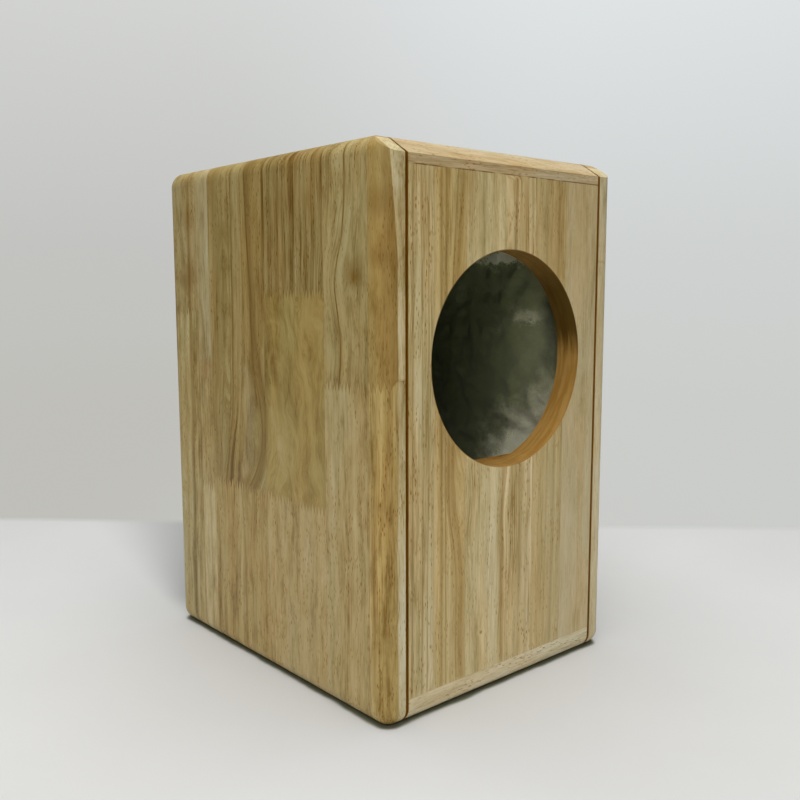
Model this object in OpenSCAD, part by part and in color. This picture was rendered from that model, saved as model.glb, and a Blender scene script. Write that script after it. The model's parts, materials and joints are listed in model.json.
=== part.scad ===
// Empty bookshelf loudspeaker cabinet in finger-jointed hardwood.
// Two thick side panels hold a core box of four boards; the front board has the driver cut-out.
// Frame: +Z up, the front faces -Y, the origin is at the bottom centre of the wooden box.

/* [Cabinet] */
// Overall width, across both side panels
cabinet_w = 236; // [220:1:260]
// Overall depth, front to rear
cabinet_d = 286; // [270:1:320]
// Overall height
cabinet_h = 390; // [380:1:420]
// Thickness of the side, top, bottom and rear boards
board_t = 18; // [16:0.5:20]
// Thickness of the front baffle
baffle_t = 20; // [18:0.5:22]
// Radius of the rounded outer edges
edge_r = 12; // [10:0.5:14]

/* [Front bevel] */
// Height that the bevel takes off the front face
bevel_drop = 11.5; // [10:0.5:13]
// Depth that the bevel takes off the top face
bevel_run = 18; // [16:0.5:22]
// Radius that eases the bevel into the top face
bevel_ease_r = 12; // [8:1:14]

/* [Groove] */
// Width of the groove between each side panel and the core
groove_w = 2; // [1.5:0.1:3]
// Depth of that groove
groove_t = 3; // [2:0.1:4]

/* [Driver cut-out] */
// Diameter of the hole bored through the baffle
cutout_d = 155; // [140:1:160]
// Height of its centre above the floor
cutout_z = 243; // [235:1:255]

/* [Inside] */
// Height of the cross brace behind the baffle
brace_h = 30; // [20:1:40]
// Distance from the lowest point of the cut-out down to the brace's upper edge
brace_drop = 1.5; // [-4:0.5:6]
// Thickness of the wadding sheets
wadding_t = 22; // [15:1:25]
// Diameter of the dowels
dowel_d = 8; // [6:1:10]
// Length of the dowels
dowel_l = 30; // [24:1:36]

/* [Bass port] */
// Inside diameter of the port tube
port_d = 54; // [45:1:60]
// Length of the port tube, from the face of its flange
port_l = 120; // [80:1:130]
// Height of the port's axis above the floor
port_z = 285; // [260:1:310]

/* [Terminals] */
// Height of the terminal cup's centre above the floor
cup_z = 110; // [95:1:130]
// Width of the cup's flange
cup_w = 104; // [96:1:110]
// Height of the cup's flange
cup_h = 84; // [76:1:90]
// Depth of the recess, from the flange's face to the floor of the cup
cup_depth = 36; // [34:1:42]
// Distance between the two binding posts
post_pitch = 38; // [32:1:44]
// Diameter of the plug socket in each post
socket_d = 4; // [4:0.1:4.2]

/* [Hidden] */
$fn = 96;
wood = [0.80, 0.70, 0.50];
wood_dark = [0.72, 0.60, 0.40];
fluff = [0.88, 0.90, 0.86];
plastic = [0.08, 0.08, 0.08];
brass = [0.80, 0.62, 0.28];
steel = [0.62, 0.62, 0.64];
red = [0.70, 0.05, 0.05];
black = [0.05, 0.05, 0.06];
eps = 0.5;                                  // overlap of cutters past a face
front_y = -cabinet_d / 2;
rear_y = cabinet_d / 2;
core_x = cabinet_w / 2 - board_t;           // half width of the core box
bevel_angle = atan(bevel_drop / bevel_run);
wedge_reach = 30;                           // size of the cutter that makes the bevel
dowel_reach = 12;                           // how far a dowel enters a side panel
dowel_spread_y = [-0.3, 0.3];               // places along the top and bottom, over the depth
dowel_spread_z = [0.2, 0.5, 0.8];           // places up the front and rear, over the height
wall_gap = 0.5;                             // wadding stands this far off the boards
wadding_fit = 1;                            // and this far off the port tube and the cup
wadding_front_y = front_y + baffle_t + wall_gap;
wadding_x = core_x - wadding_t;             // half width of the space between the side sheets
brace_top_z = cutout_z - cutout_d / 2 - brace_drop;
port_wall = 2.5;
port_fit = 0.3;                             // gap between the tube and the rear panel, all round
port_flange_r = port_d / 2 + 15;
port_flange_t = 5;
port_flare_r = 5;                           // radius of the rounded mouth
port_screw_pcd = port_d + 20;
screw_r = 1.75;
screw_head_r = 3.4;
screw_head_t = 2;
screw_l = 16;
screw_slot_w = 0.8;
screw_slot_t = 1.2;
screw_slot_l = 4;
cup_flange_t = 3;
cup_wall = 2.5;
cup_floor_t = 3;
cup_corner_r = 10;
cup_rim = 10;                               // flange width outside the recess
gasket_t = 2;
gasket_fit = 0.2;                           // gap between the gasket and the cup's body
cup_fit = 0.4;                              // gap between the cup and the rear panel, all round
cup_screw_inset = 5.2;
cup_inner_w = cup_w - 2 * cup_rim;
cup_inner_h = cup_h - 2 * cup_rim;
cup_inner_r = cup_corner_r - 3;
seat_y = rear_y - cup_depth;                // outer face of the cup's floor
stud_r = 4;
stud_out = 26;                              // stud length outside the cup's floor
stud_in = 16;                               // stud length inside it, from the floor's outer face
socket_l = 18;                              // depth of the plug socket
wire_hole_r = 1.6;
collar_r = 9;
collar_t = 3;
washer_r = 6.8;
washer_t = 1.2;
thread_clear = 0.05;                        // radial clearance on the stud's thread
cap_r = 7.8;
cap_l = 21;
cap_insert_r = 5.4;
cap_insert_l = 13;
cap_gap = 0.2;                              // free play between the collar, the washer and the cap
nut_af = 13;
nut_t = 5;
tag_r = 7;
tag_t = 0.8;
tag_l = 22;                                 // from the stud's axis to the tag's tip
tag_w = 6;
tag_eye_r = 1.2;
cap_clear = 0.3;                            // gap between the cap's outer end and the stud
cap_chamfer = 1;
flutes = 18;
flute_r = 0.9;
flute_offset = 0.4;                         // a flute's axis lies this far outside the cap
flute_start = 2;
wire_hole_gap = 0.2;                        // between the collar and the wire hole

// ---- helpers ----

// Rectangle in Y and Z with rounded corners, shrunk by inset on every side
module side_outline(inset) {
    r = edge_r - inset;
    d = cabinet_d - 2 * edge_r;
    h = cabinet_h - 2 * edge_r;
    union() {
        translate([front_y + inset, edge_r]) square([cabinet_d - 2 * inset, h]);
        translate([front_y + edge_r, inset]) square([d, cabinet_h - 2 * inset]);
        for (y = [front_y + edge_r, rear_y - edge_r], z = [edge_r, cabinet_h - edge_r])
            translate([y, z]) circle(r);
    }
}

// What the front bevel takes off, in Y and Z: a wedge, and the sliver that eases its upper edge
module bevel_wedge(inset) {
    translate([front_y, cabinet_h - bevel_drop])
        rotate(bevel_angle)
            translate([-wedge_reach, -inset]) square([3 * wedge_reach, wedge_reach]);
    if (inset == 0)
        translate([front_y + bevel_run, cabinet_h]) bevel_ease();
}

// The corner outside an arc that joins the bevel to the top face, whose sharp edge is at the origin
module bevel_ease() {
    reach = bevel_ease_r * tan(bevel_angle / 2);
    difference() {
        polygon([
            [0, eps],
            [reach, eps],
            [reach, -bevel_ease_r],
            [-reach * cos(bevel_angle), -reach * sin(bevel_angle)],
            [-reach * cos(bevel_angle), eps]
        ]);
        translate([reach, -bevel_ease_r]) circle(bevel_ease_r);
    }
}

module core_outline(inset) {
    difference() {
        side_outline(inset);
        bevel_wedge(inset);
    }
}

// Turns a Y-Z outline into a solid of the given width, centred on X
module along_x(width) {
    rotate([90, 0, 90]) linear_extrude(width, center = true) children();
}

// A board of the core box: the outline in a window, lowered beside the side panels to form the groove
module core_board(y0, y1, z0, z1) {
    along_x(2 * core_x - 2 * groove_w) intersection() {
        core_outline(0);
        translate([y0, z0]) square([y1 - y0, z1 - z0]);
    }
    along_x(2 * core_x) intersection() {
        core_outline(groove_t);
        translate([y0, z0]) square([y1 - y0, z1 - z0]);
    }
}

// Axes of the dowels: [y, z] where each crosses the joint with a side panel
function dowel_axes() = concat(
    [for (y = dowel_spread_y * cabinet_d, z = [board_t / 2, cabinet_h - board_t / 2]) [y, z]],
    [for (z = dowel_spread_z * cabinet_h, y = [front_y + baffle_t / 2, rear_y - board_t / 2]) [y, z]]
);

module dowel_set() {
    for (side = [-1, 1], axis = dowel_axes())
        translate([side * (core_x + dowel_reach - dowel_l / 2), axis[0], axis[1]])
            rotate([0, 90, 0]) cylinder(h = dowel_l, d = dowel_d, center = true);
}

// Side panel standing at +X: flat inner face, every outer edge and corner rounded
module side_panel() {
    x_round = cabinet_w / 2 - edge_r;
    y_round = cabinet_d / 2 - edge_r;
    difference() {
        union() {
            translate([core_x, 0, 0]) rotate([90, 0, 90])
                linear_extrude(board_t - edge_r) side_outline(0);
            translate([core_x, -y_round, edge_r])
                cube([board_t, 2 * y_round, cabinet_h - 2 * edge_r]);
            for (y = [-y_round, y_round]) {
                translate([x_round, y, edge_r]) cylinder(h = cabinet_h - 2 * edge_r, r = edge_r);
                for (z = [edge_r, cabinet_h - edge_r])
                    translate([x_round, y, z]) sphere(edge_r);
            }
            for (z = [edge_r, cabinet_h - edge_r])
                translate([x_round, y_round, z]) rotate([90, 0, 0])
                    cylinder(h = 2 * y_round, r = edge_r);
        }
        translate([core_x - edge_r, -cabinet_d / 2 - eps, -eps])
            cube([edge_r, cabinet_d + 2 * eps, cabinet_h + 2 * eps]);
        along_x(cabinet_w + 2 * eps) bevel_wedge(0);
        dowel_set();
    }
}

// Puts children, drawn about the origin and pointing along +Z, on the rear face pointing out along +Y
module on_rear(x, y, z) {
    translate([x, y, z]) rotate([-90, 0, 0]) children();
}

module rounded_rect(w, h, r) {
    union() {
        square([w - 2 * r, h], center = true);
        square([w, h - 2 * r], center = true);
        for (x = [-1, 1], y = [-1, 1])
            translate([x * (w / 2 - r), y * (h / 2 - r)]) circle(r);
    }
}

// Outline of the cup's body behind its flange, grown by gap on every side
module cup_body_outline(gap) {
    grow = cup_wall + gap;
    rounded_rect(cup_inner_w + 2 * grow, cup_inner_h + 2 * grow, cup_inner_r + grow);
}

// Countersunk wood screw: the head's face is at the origin and the shank runs down -Z
module wood_screw() {
    difference() {
        union() {
            translate([0, 0, -screw_head_t]) cylinder(h = screw_head_t, r1 = screw_r, r2 = screw_head_r);
            translate([0, 0, -screw_l]) cylinder(h = screw_l - screw_head_t, r = screw_r);
        }
        for (a = [0, 90])
            rotate(a) translate([-screw_slot_l / 2, -screw_slot_w / 2, -screw_slot_t])
                cube([screw_slot_l, screw_slot_w, screw_slot_t + eps]);
    }
}

module screw_seat() {
    translate([0, 0, -screw_head_t]) cylinder(h = screw_head_t, r1 = screw_r, r2 = screw_head_r);
    translate([0, 0, -screw_l]) cylinder(h = screw_l, r = screw_r);
}

module at_port_screws() {
    for (a = [45:90:315])
        on_rear(port_screw_pcd / 2 * cos(a), rear_y, port_z + port_screw_pcd / 2 * sin(a)) children();
}

module at_cup_screws() {
    for (x = [-1, 1], z = [-1, 1])
        on_rear(x * (cup_w / 2 - cup_screw_inset), rear_y, cup_z + z * (cup_h / 2 - cup_screw_inset))
            children();
}

// ---- wooden box ----

module left_side_panel() {
    color(wood) mirror([1, 0, 0]) side_panel();
}

module right_side_panel() {
    color(wood) side_panel();
}

module top_panel() {
    color(wood) difference() {
        core_board(front_y, rear_y, cabinet_h - board_t, cabinet_h);
        dowel_set();
    }
}

module bottom_panel() {
    color(wood) difference() {
        core_board(front_y, rear_y, 0, board_t);
        dowel_set();
    }
}

module front_baffle() {
    color(wood) difference() {
        core_board(front_y, front_y + baffle_t, board_t, cabinet_h - board_t);
        translate([0, front_y + baffle_t / 2, cutout_z]) rotate([90, 0, 0])
            cylinder(h = baffle_t + 2 * eps, d = cutout_d, center = true);
        dowel_set();
    }
}

module rear_panel() {
    color(wood) difference() {
        core_board(rear_y - board_t, rear_y, board_t, cabinet_h - board_t);
        dowel_set();
        on_rear(0, rear_y - board_t - eps, port_z)
            cylinder(h = board_t + 2 * eps, r = port_d / 2 + port_wall + port_fit);
        on_rear(0, rear_y - port_flange_t, port_z)
            cylinder(h = port_flange_t + eps, r = port_flange_r + port_fit);
        on_rear(0, rear_y - board_t - eps, cup_z) linear_extrude(board_t + 2 * eps)
            cup_body_outline(cup_fit);
        on_rear(0, rear_y - cup_flange_t - gasket_t, cup_z)
            linear_extrude(cup_flange_t + gasket_t + eps)
                rounded_rect(cup_w + 2 * cup_fit, cup_h + 2 * cup_fit, cup_corner_r + cup_fit);
        at_port_screws() screw_seat();
        at_cup_screws() screw_seat();
    }
}

module front_brace() {
    color(wood_dark)
        translate([-core_x, front_y + baffle_t, brace_top_z - brace_h])
            cube([2 * core_x, board_t, brace_h]);
}

module panel_dowels() {
    color(wood_dark) dowel_set();
}

// ---- wadding ----

// Sheet on the right wall, with a notch where the cross brace meets that wall
module side_sheet() {
    difference() {
        translate([wadding_x, wadding_front_y, board_t + wall_gap])
            cube([wadding_t - wall_gap, rear_y - board_t - wall_gap - wadding_front_y,
                cabinet_h - 2 * board_t - 2 * wall_gap]);
        translate([0, front_y + baffle_t, brace_top_z - brace_h - wadding_fit])
            cube([core_x, board_t + wadding_fit, brace_h + 2 * wadding_fit]);
    }
}

module left_wadding() {
    color(fluff) mirror([1, 0, 0]) side_sheet();
}

module right_wadding() {
    color(fluff) side_sheet();
}

module flat_sheet(z) {
    inner_w = 2 * (wadding_x - wall_gap);
    inner_d = rear_y - board_t - wadding_t - wall_gap - wadding_front_y;
    translate([-inner_w / 2, wadding_front_y, z]) cube([inner_w, inner_d, wadding_t - wall_gap]);
}

module top_wadding() {
    color(fluff) flat_sheet(cabinet_h - board_t - wadding_t);
}

module bottom_wadding() {
    color(fluff) flat_sheet(board_t + wall_gap);
}

module rear_wadding() {
    inner_w = 2 * (wadding_x - wall_gap);
    color(fluff) difference() {
        translate([-inner_w / 2, rear_y - board_t - wadding_t, board_t + wall_gap])
            cube([inner_w, wadding_t - wall_gap, cabinet_h - 2 * board_t - 2 * wall_gap]);
        on_rear(0, 0, port_z) cylinder(h = rear_y, r = port_d / 2 + port_wall + wadding_fit);
        on_rear(0, 0, cup_z) linear_extrude(rear_y) cup_body_outline(wadding_fit);
    }
}

// ---- bass port ----

module port_tube() {
    r_in = port_d / 2;
    r_out = r_in + port_wall;
    color(plastic) difference() {
        on_rear(0, rear_y, port_z) rotate_extrude() difference() {
            union() {
                translate([r_in, -port_l]) square([port_wall, port_l]);
                translate([r_in, -port_flange_t]) square([port_flange_r - r_in, port_flange_t]);
                translate([r_in, -port_flare_r]) square([port_flare_r, port_flare_r]);
            }
            difference() {
                translate([r_in - eps, -port_flare_r]) square([port_flare_r + eps, port_flare_r + eps]);
                translate([r_in + port_flare_r, -port_flare_r]) circle(port_flare_r);
            }
        }
        at_port_screws() screw_seat();
    }
}

module port_screws() {
    color(steel) at_port_screws() wood_screw();
}

// ---- terminal cup ----

module terminal_cup() {
    color(plastic) difference() {
        union() {
            on_rear(0, rear_y - cup_flange_t, cup_z) linear_extrude(cup_flange_t)
                rounded_rect(cup_w, cup_h, cup_corner_r);
            on_rear(0, seat_y - cup_floor_t, cup_z) linear_extrude(cup_depth + cup_floor_t - cup_flange_t)
                cup_body_outline(0);
        }
        on_rear(0, seat_y, cup_z) linear_extrude(cup_depth + eps)
            rounded_rect(cup_inner_w, cup_inner_h, cup_inner_r);
        for (side = [-1, 1])
            on_rear(side * post_pitch / 2, seat_y - cup_floor_t - eps, cup_z)
                cylinder(h = cup_floor_t + 2 * eps, r = stud_r);
        at_cup_screws() screw_seat();
    }
}

module cup_gasket() {
    color(plastic) difference() {
        on_rear(0, rear_y - cup_flange_t - gasket_t, cup_z) linear_extrude(gasket_t) difference() {
            rounded_rect(cup_w, cup_h, cup_corner_r);
            cup_body_outline(gasket_fit);
        }
        at_cup_screws() screw_seat();
    }
}

module cup_screws() {
    color(steel) at_cup_screws() wood_screw();
}

// ---- binding posts: side is 1 for red and -1 for black ----

module at_post(side) {
    on_rear(side * post_pitch / 2, seat_y, cup_z) children();
}

module stud(side) {
    color(brass) at_post(side) difference() {
        translate([0, 0, -stud_in]) cylinder(h = stud_out + stud_in, r = stud_r);
        translate([0, 0, stud_out - socket_l]) cylinder(h = socket_l + eps, d = socket_d);
        translate([0, 0, collar_t + wire_hole_r + wire_hole_gap]) rotate([0, 90, 0])
            cylinder(h = 2 * stud_r + 2 * eps, r = wire_hole_r, center = true);
    }
}

module collar(side, shade) {
    color(shade) at_post(side) difference() {
        cylinder(h = collar_t, r = collar_r);
        translate([0, 0, -eps]) cylinder(h = collar_t + 2 * eps, r = stud_r);
    }
}

module washer(side) {
    color(steel) at_post(side) translate([0, 0, collar_t + cap_gap]) difference() {
        cylinder(h = washer_t, r = washer_r);
        translate([0, 0, -eps]) cylinder(h = washer_t + 2 * eps, r = stud_r + thread_clear);
    }
}

module at_cap(side) {
    at_post(side) translate([0, 0, collar_t + washer_t + 2 * cap_gap]) children();
}

module cap(side, shade) {
    color(shade) at_cap(side) difference() {
        union() {
            cylinder(h = cap_l - cap_chamfer, r = cap_r);
            translate([0, 0, cap_l - cap_chamfer])
                cylinder(h = cap_chamfer, r1 = cap_r, r2 = cap_r - cap_chamfer);
        }
        translate([0, 0, -eps]) cylinder(h = cap_insert_l + eps, r = cap_insert_r);
        cylinder(h = cap_l + eps, r = stud_r + cap_clear);
        for (i = [0:flutes - 1])
            rotate(i * 360 / flutes) translate([cap_r + flute_offset, 0, flute_start])
                cylinder(h = cap_l, r = flute_r, $fn = 24);
    }
}

module cap_insert(side) {
    color(brass) at_cap(side) difference() {
        cylinder(h = cap_insert_l, r = cap_insert_r);
        translate([0, 0, -eps]) cylinder(h = cap_insert_l + 2 * eps, r = stud_r + thread_clear);
    }
}

module nut(side) {
    color(steel) at_post(side) translate([0, 0, -cup_floor_t - tag_t - nut_t]) difference() {
        cylinder(h = nut_t, d = nut_af / cos(30), $fn = 6);
        translate([0, 0, -eps]) cylinder(h = nut_t + 2 * eps, r = stud_r);
    }
}

module solder_tag(side) {
    color(brass) at_post(side) translate([0, 0, -cup_floor_t - tag_t]) difference() {
        union() {
            cylinder(h = tag_t, r = tag_r);
            translate([-tag_w / 2, 0, 0]) cube([tag_w, tag_l - tag_w / 2, tag_t]);
            translate([0, tag_l - tag_w / 2, 0]) cylinder(h = tag_t, d = tag_w);
        }
        translate([0, 0, -eps]) cylinder(h = tag_t + 2 * eps, r = stud_r);
        translate([0, tag_l - tag_w / 2, -eps]) cylinder(h = tag_t + 2 * eps, r = tag_eye_r);
    }
}

module red_stud() { stud(1); }
module red_collar() { collar(1, red); }
module red_washer() { washer(1); }
module red_cap() { cap(1, red); }
module red_cap_insert() { cap_insert(1); }
module red_nut() { nut(1); }
module red_solder_tag() { solder_tag(1); }
module black_stud() { stud(-1); }
module black_collar() { collar(-1, black); }
module black_washer() { washer(-1); }
module black_cap() { cap(-1, black); }
module black_cap_insert() { cap_insert(-1); }
module black_nut() { nut(-1); }
module black_solder_tag() { solder_tag(-1); }

left_side_panel();
right_side_panel();
top_panel();
bottom_panel();
front_baffle();
rear_panel();
front_brace();
panel_dowels();
left_wadding();
right_wadding();
top_wadding();
bottom_wadding();
rear_wadding();
port_tube();
port_screws();
terminal_cup();
cup_gasket();
cup_screws();
red_stud();
red_collar();
red_washer();
red_cap();
red_cap_insert();
red_nut();
red_solder_tag();
black_stud();
black_collar();
black_washer();
black_cap();
black_cap_insert();
black_nut();
black_solder_tag();
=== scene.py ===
"""An empty bookshelf loudspeaker cabinet of finger-jointed hardwood, on a pale floor.

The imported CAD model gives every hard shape. This script makes the five sheets of wadding, all the
materials, the room, the lights and the camera. Positions are in metres in the CAD model's own frame,
and sizes inside a material are in millimetres.
"""

import itertools
import json
import math
import random

import bpy
from mathutils import Matrix, Vector, noise


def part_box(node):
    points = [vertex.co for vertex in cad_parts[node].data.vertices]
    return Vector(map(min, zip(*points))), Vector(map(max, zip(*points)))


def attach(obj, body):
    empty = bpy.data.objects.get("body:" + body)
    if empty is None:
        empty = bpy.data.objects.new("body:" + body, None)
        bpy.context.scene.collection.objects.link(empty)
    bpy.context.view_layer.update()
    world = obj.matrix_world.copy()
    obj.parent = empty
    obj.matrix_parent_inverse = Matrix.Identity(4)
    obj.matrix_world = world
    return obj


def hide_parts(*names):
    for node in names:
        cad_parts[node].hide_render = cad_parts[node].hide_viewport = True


MM = 0.001

# The finger joints that join the lengths of a stave end to end
FINGER_PITCH = 3.8
FINGER_LENGTH = 8.0
FINGER_SLOPE = 2 * FINGER_LENGTH / FINGER_PITCH

# A stave has at most this many finger joints. A joint that it lacks is put this high, in mm.
MOST_JOINTS = 3
NO_JOINT = 1000.0

# Numbers are divided by these before they go into a colour ramp, which holds 0 to 1
CELL_SCALE = 100
PLACE_SCALE = 400

# How a stave was cut from its tree. The tree's centre lies `pith` mm to the side of the stave's middle
# and `depth` mm behind its face, and comes `tilt` mm nearer for each mm along the stave.
# streaks, lines and pores are the strengths of broad bands, narrow dark lines and pore dashes, and
# wild is how much the grain wanders.
CUTS = {
    "quarter": dict(streaks=1.0, lines=0.8, pores=1.0, pith=120, depth=40, tilt=0.03, wild=0.0),
    "striped": dict(streaks=1.0, lines=1.3, pores=0.9, pith=-110, depth=30, tilt=0.01, wild=0.0),
    "rift": dict(streaks=1.0, lines=0.6, pores=0.9, pith=-70, depth=45, tilt=0.04, wild=0.03),
    "flat": dict(streaks=1.1, lines=0.4, pores=0.5, pith=6, depth=60, tilt=0.14, wild=0.08),
    "mottled": dict(streaks=0.9, lines=0.3, pores=0.8, pith=70, depth=40, tilt=0.05, wild=0.22),
    "clouded": dict(streaks=0.35, lines=0.2, pores=1.0, pith=70, depth=40, tilt=0.05, wild=0.1),
    "plain": dict(streaks=0.5, lines=0.15, pores=0.45, pith=80, depth=60, tilt=0.02, wild=0.0),
    "soft": dict(streaks=0.6, lines=0.45, pores=0.8, pith=80, depth=60, tilt=0.02, wild=0.01),
    "porous": dict(streaks=0.65, lines=0.3, pores=1.0, pith=70, depth=50, tilt=0.02, wild=0.02),
    "curly": dict(streaks=0.8, lines=0.1, pores=0.3, pith=30, depth=34, tilt=0.2, wild=0.6),
}

# Staves of each board, from the edge that `across` is measured from. Each is a width in mm and its
# lengths from the bottom up: (height of its upper end in mm, cut, screen colour of the bare wood).
LEFT_STAVES = (
    (16, ((231, "quarter", (206, 180, 115)), (390, "mottled", (180, 151, 86)))),
    (48, ((229, "porous", (192, 170, 115)), (390, "rift", (187, 167, 111)))),
    (75, ((139, "porous", (194, 171, 116)), (290, "curly", (178, 154, 89)),
          (390, "striped", (170, 147, 89)))),
    (79, ((139, "rift", (186, 160, 99)), (390, "rift", (172, 149, 89)))),
    (20, ((131, "plain", (208, 188, 136)), (218, "quarter", (189, 168, 113)),
          (237, "rift", (182, 158, 106)), (390, "plain", (191, 173, 124)))),
    (48, ((275, "rift", (190, 171, 115)), (390, "clouded", (184, 164, 112)))),
)
RIGHT_STAVES = (
    (13, ((310, "plain", (214, 196, 150)), (390, "plain", (216, 199, 156)))),
    (43, ((180, "rift", (190, 166, 112)), (390, "flat", (196, 172, 120)))),
    (62, ((250, "striped", (182, 158, 104)), (390, "porous", (194, 172, 120)))),
    (34, ((120, "mottled", (184, 158, 100)), (390, "rift", (188, 166, 112)))),
    (56, ((205, "flat", (198, 176, 124)), (390, "rift", (186, 162, 106)))),
    (48, ((320, "porous", (190, 168, 116)), (390, "quarter", (196, 172, 120)))),
    (30, ((90, "plain", (204, 186, 138)), (390, "striped", (186, 160, 104)))),
)
FRONT_STAVES = (
    (25, ((372, "quarter", (216, 197, 146)),)),
    (30, ((372, "soft", (214, 190, 131)),)),
    (38, ((372, "soft", (221, 201, 149)),)),
    (33, ((372, "quarter", (222, 201, 149)),)),
    (34, ((372, "soft", (207, 184, 129)),)),
    (40, ((372, "plain", (208, 189, 143)),)),
)
TOP_STAVES = (
    (34, ((200, "rift", (199, 176, 131)),)),
    (52, ((200, "rift", (198, 174, 122)),)),
    (44, ((200, "quarter", (190, 168, 114)),)),
    (60, ((200, "flat", (200, 178, 126)),)),
    (48, ((200, "rift", (186, 162, 106)),)),
    (48, ((200, "plain", (204, 184, 134)),)),
)
BOTTOM_STAVES = (
    (40, ((200, "porous", (226, 211, 172)),)),
    (66, ((200, "rift", (198, 176, 124)),)),
    (52, ((200, "flat", (194, 170, 116)),)),
    (70, ((200, "quarter", (200, 178, 126)),)),
    (58, ((200, "rift", (190, 166, 110)),)),
)

# Dark lines that a board's grain draws. path is (distance along, distance across) in mm, thick is a
# line's half width, dark is its strength, which makes it pale below 0, and within reach the grain
# around it bends with the line. A line comes and goes over FIGURE_FADE mm either way of its ends.
FIGURE_FADE = 4.0
LEFT_FIGURES = (
    dict(thick=5.5, dark=0.42, reach=20,
         path=((139, 160), (163, 145), (183, 140), (203, 141), (230, 148), (257, 152),
               (307, 156), (390, 158))),
    dict(thick=1.2, dark=0.35,
         path=((139, 165), (163, 149), (183, 144), (203, 145.5), (230, 153), (257, 156),
               (307, 159), (390, 163))),
    dict(thick=8.0, dark=-0.32, path=((145, 176), (163, 166), (190, 161), (215, 164), (235, 169))),
    dict(thick=0.9, dark=0.4,
         path=((139, 206), (165, 196), (200, 190), (240, 188), (310, 187), (390, 188))),
    dict(thick=8.0, dark=0.22, path=((145, 208), (240, 206), (390, 206))),
    dict(thick=7.0, dark=-0.15, path=((240, 178), (390, 176))),
    dict(thick=1.4, dark=0.4, path=((250, 142), (307, 140), (390, 137))),
    dict(thick=0.9, dark=0.6, reach=12,
         path=((139, 200), (177, 191), (203, 186), (240, 184.5), (300, 183), (390, 183))),
    dict(thick=0.8, dark=0.3, path=((139, 210), (180, 204), (240, 198), (310, 196), (390, 197))),
    dict(thick=0.8, dark=0.9, reach=13,
         path=((229, 47.5), (257, 45.3), (280, 48.7), (297, 51), (310, 48.7), (330, 42.7), (390, 40))),
    dict(thick=2.4, dark=0.45, path=((0, 255), (120, 254), (250, 252), (390, 250))),
    dict(thick=0.5, dark=0.5, path=((0, 239), (150, 239.5), (260, 239))),
    dict(thick=3.4, dark=0.34, path=((205, 119), (232, 125), (262, 134), (290, 142))),
    dict(thick=3.5, dark=-0.25, path=((165, 118), (190, 126), (205, 131))),
    dict(thick=1.2, dark=0.4, path=((290, 118), (340, 118), (390, 117))),
    dict(thick=1.0, dark=0.35, path=((290, 98), (340, 98.5), (390, 98))),
    dict(thick=0.7, dark=0.4, path=((290, 72), (340, 72), (390, 73))),
    dict(thick=2.0, dark=0.35, path=((20, 12), (120, 11), (229, 8))),
    dict(thick=1.0, dark=0.4, path=((0, 226), (100, 226), (131, 226))),
    dict(thick=1.2, dark=0.4, path=((0, 173), (60, 172), (139, 176))),
)

# Knots and stains. at is (distance across, distance along) and size a radius, in mm. push is how far a
# knot moves the grain aside, in mm, and dark is its strength.
LEFT_KNOTS = (
    dict(at=(31, 303), size=16, push=2, dark=0.55),
    dict(at=(27, 301), size=8, push=0, dark=0.3),
    dict(at=(250, 305), size=20, push=0, dark=0.35),
    dict(at=(249, 352), size=17, push=0, dark=0.3),
    dict(at=(7, 348), size=15, push=0, dark=0.35),
    dict(at=(8, 314), size=11, push=0, dark=0.3),
    dict(at=(86, 144), size=9, push=3, dark=0.35),
    dict(at=(262, 300), size=10, push=2, dark=0.35),
    dict(at=(215, 179), size=1.1, push=0, dark=1.0),
    dict(at=(131.7, 224), size=0.9, push=0, dark=1.0),
)

FRONT_FIGURES = (
    dict(thick=3.4, dark=0.55, reach=9,
         path=((0, 51), (40, 50), (72, 51), (95, 49), (125, 43.5), (160, 42.5), (354, 52))),
    dict(thick=0.9, dark=0.5,
         path=((0, 47), (40, 46), (72, 46.5), (95, 44.5), (125, 39.5), (160, 38.5), (354, 47))),
    dict(thick=2.8, dark=0.6, reach=9, path=((0, 94), (60, 93), (110, 92), (150, 97), (354, 105))),
    dict(thick=3.0, dark=0.42, path=((0, 113), (160, 113), (354, 116))),
    dict(thick=1.2, dark=0.24, path=((0, 120), (160, 121), (354, 122))),
    dict(thick=1.8, dark=0.36, path=((0, 149), (160, 151), (354, 152))),
    dict(thick=1.3, dark=0.5, path=((0, 33), (160, 32), (354, 31))),
    dict(thick=0.8, dark=0.5, path=((0, 37), (160, 36), (354, 36))),
    dict(thick=1.2, dark=0.22, path=((0, 141), (160, 143), (354, 144))),
    dict(thick=0.7, dark=0.5, path=((0, 14), (160, 15), (354, 13))),
    dict(thick=0.7, dark=0.5, path=((0, 5), (160, 6), (354, 6))),
    dict(thick=0.6, dark=0.5, path=((0, 19), (160, 20), (354, 20))),
    dict(thick=1.4, dark=-0.28, path=((0, 98.5), (60, 98.4), (110, 97), (160, 101))),
    dict(thick=0.9, dark=-0.4, path=((0, 25), (160, 25), (354, 25))),
)
FRONT_KNOTS = (
    dict(at=(72, 29), size=2, push=2, dark=0.8),
)

# What the staves of the other boards are picked from, with their widths in mm
OTHER_WIDTHS = (24, 32, 40, 48, 56, 64)
LEAST_WIDTH = 14
OTHER_CUTS = ("quarter", "rift", "rift", "striped", "plain", "mottled", "flat", "porous")
OTHER_COLOURS = ((196, 172, 118), (190, 166, 112), (184, 160, 104), (200, 180, 130), (178, 152, 98))

# The left side's front stave is golden near its outer face and pale sapwood further in: its width, and
# how deep the gold reaches, less GOLD_LOSS at the top, in mm, and the sapwood's screen colour
SAP_STAVE = 16.0
GOLD_DEPTH = 11.3
GOLD_LOSS = 5.0
SAPWOOD = (212, 196, 149)

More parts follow.
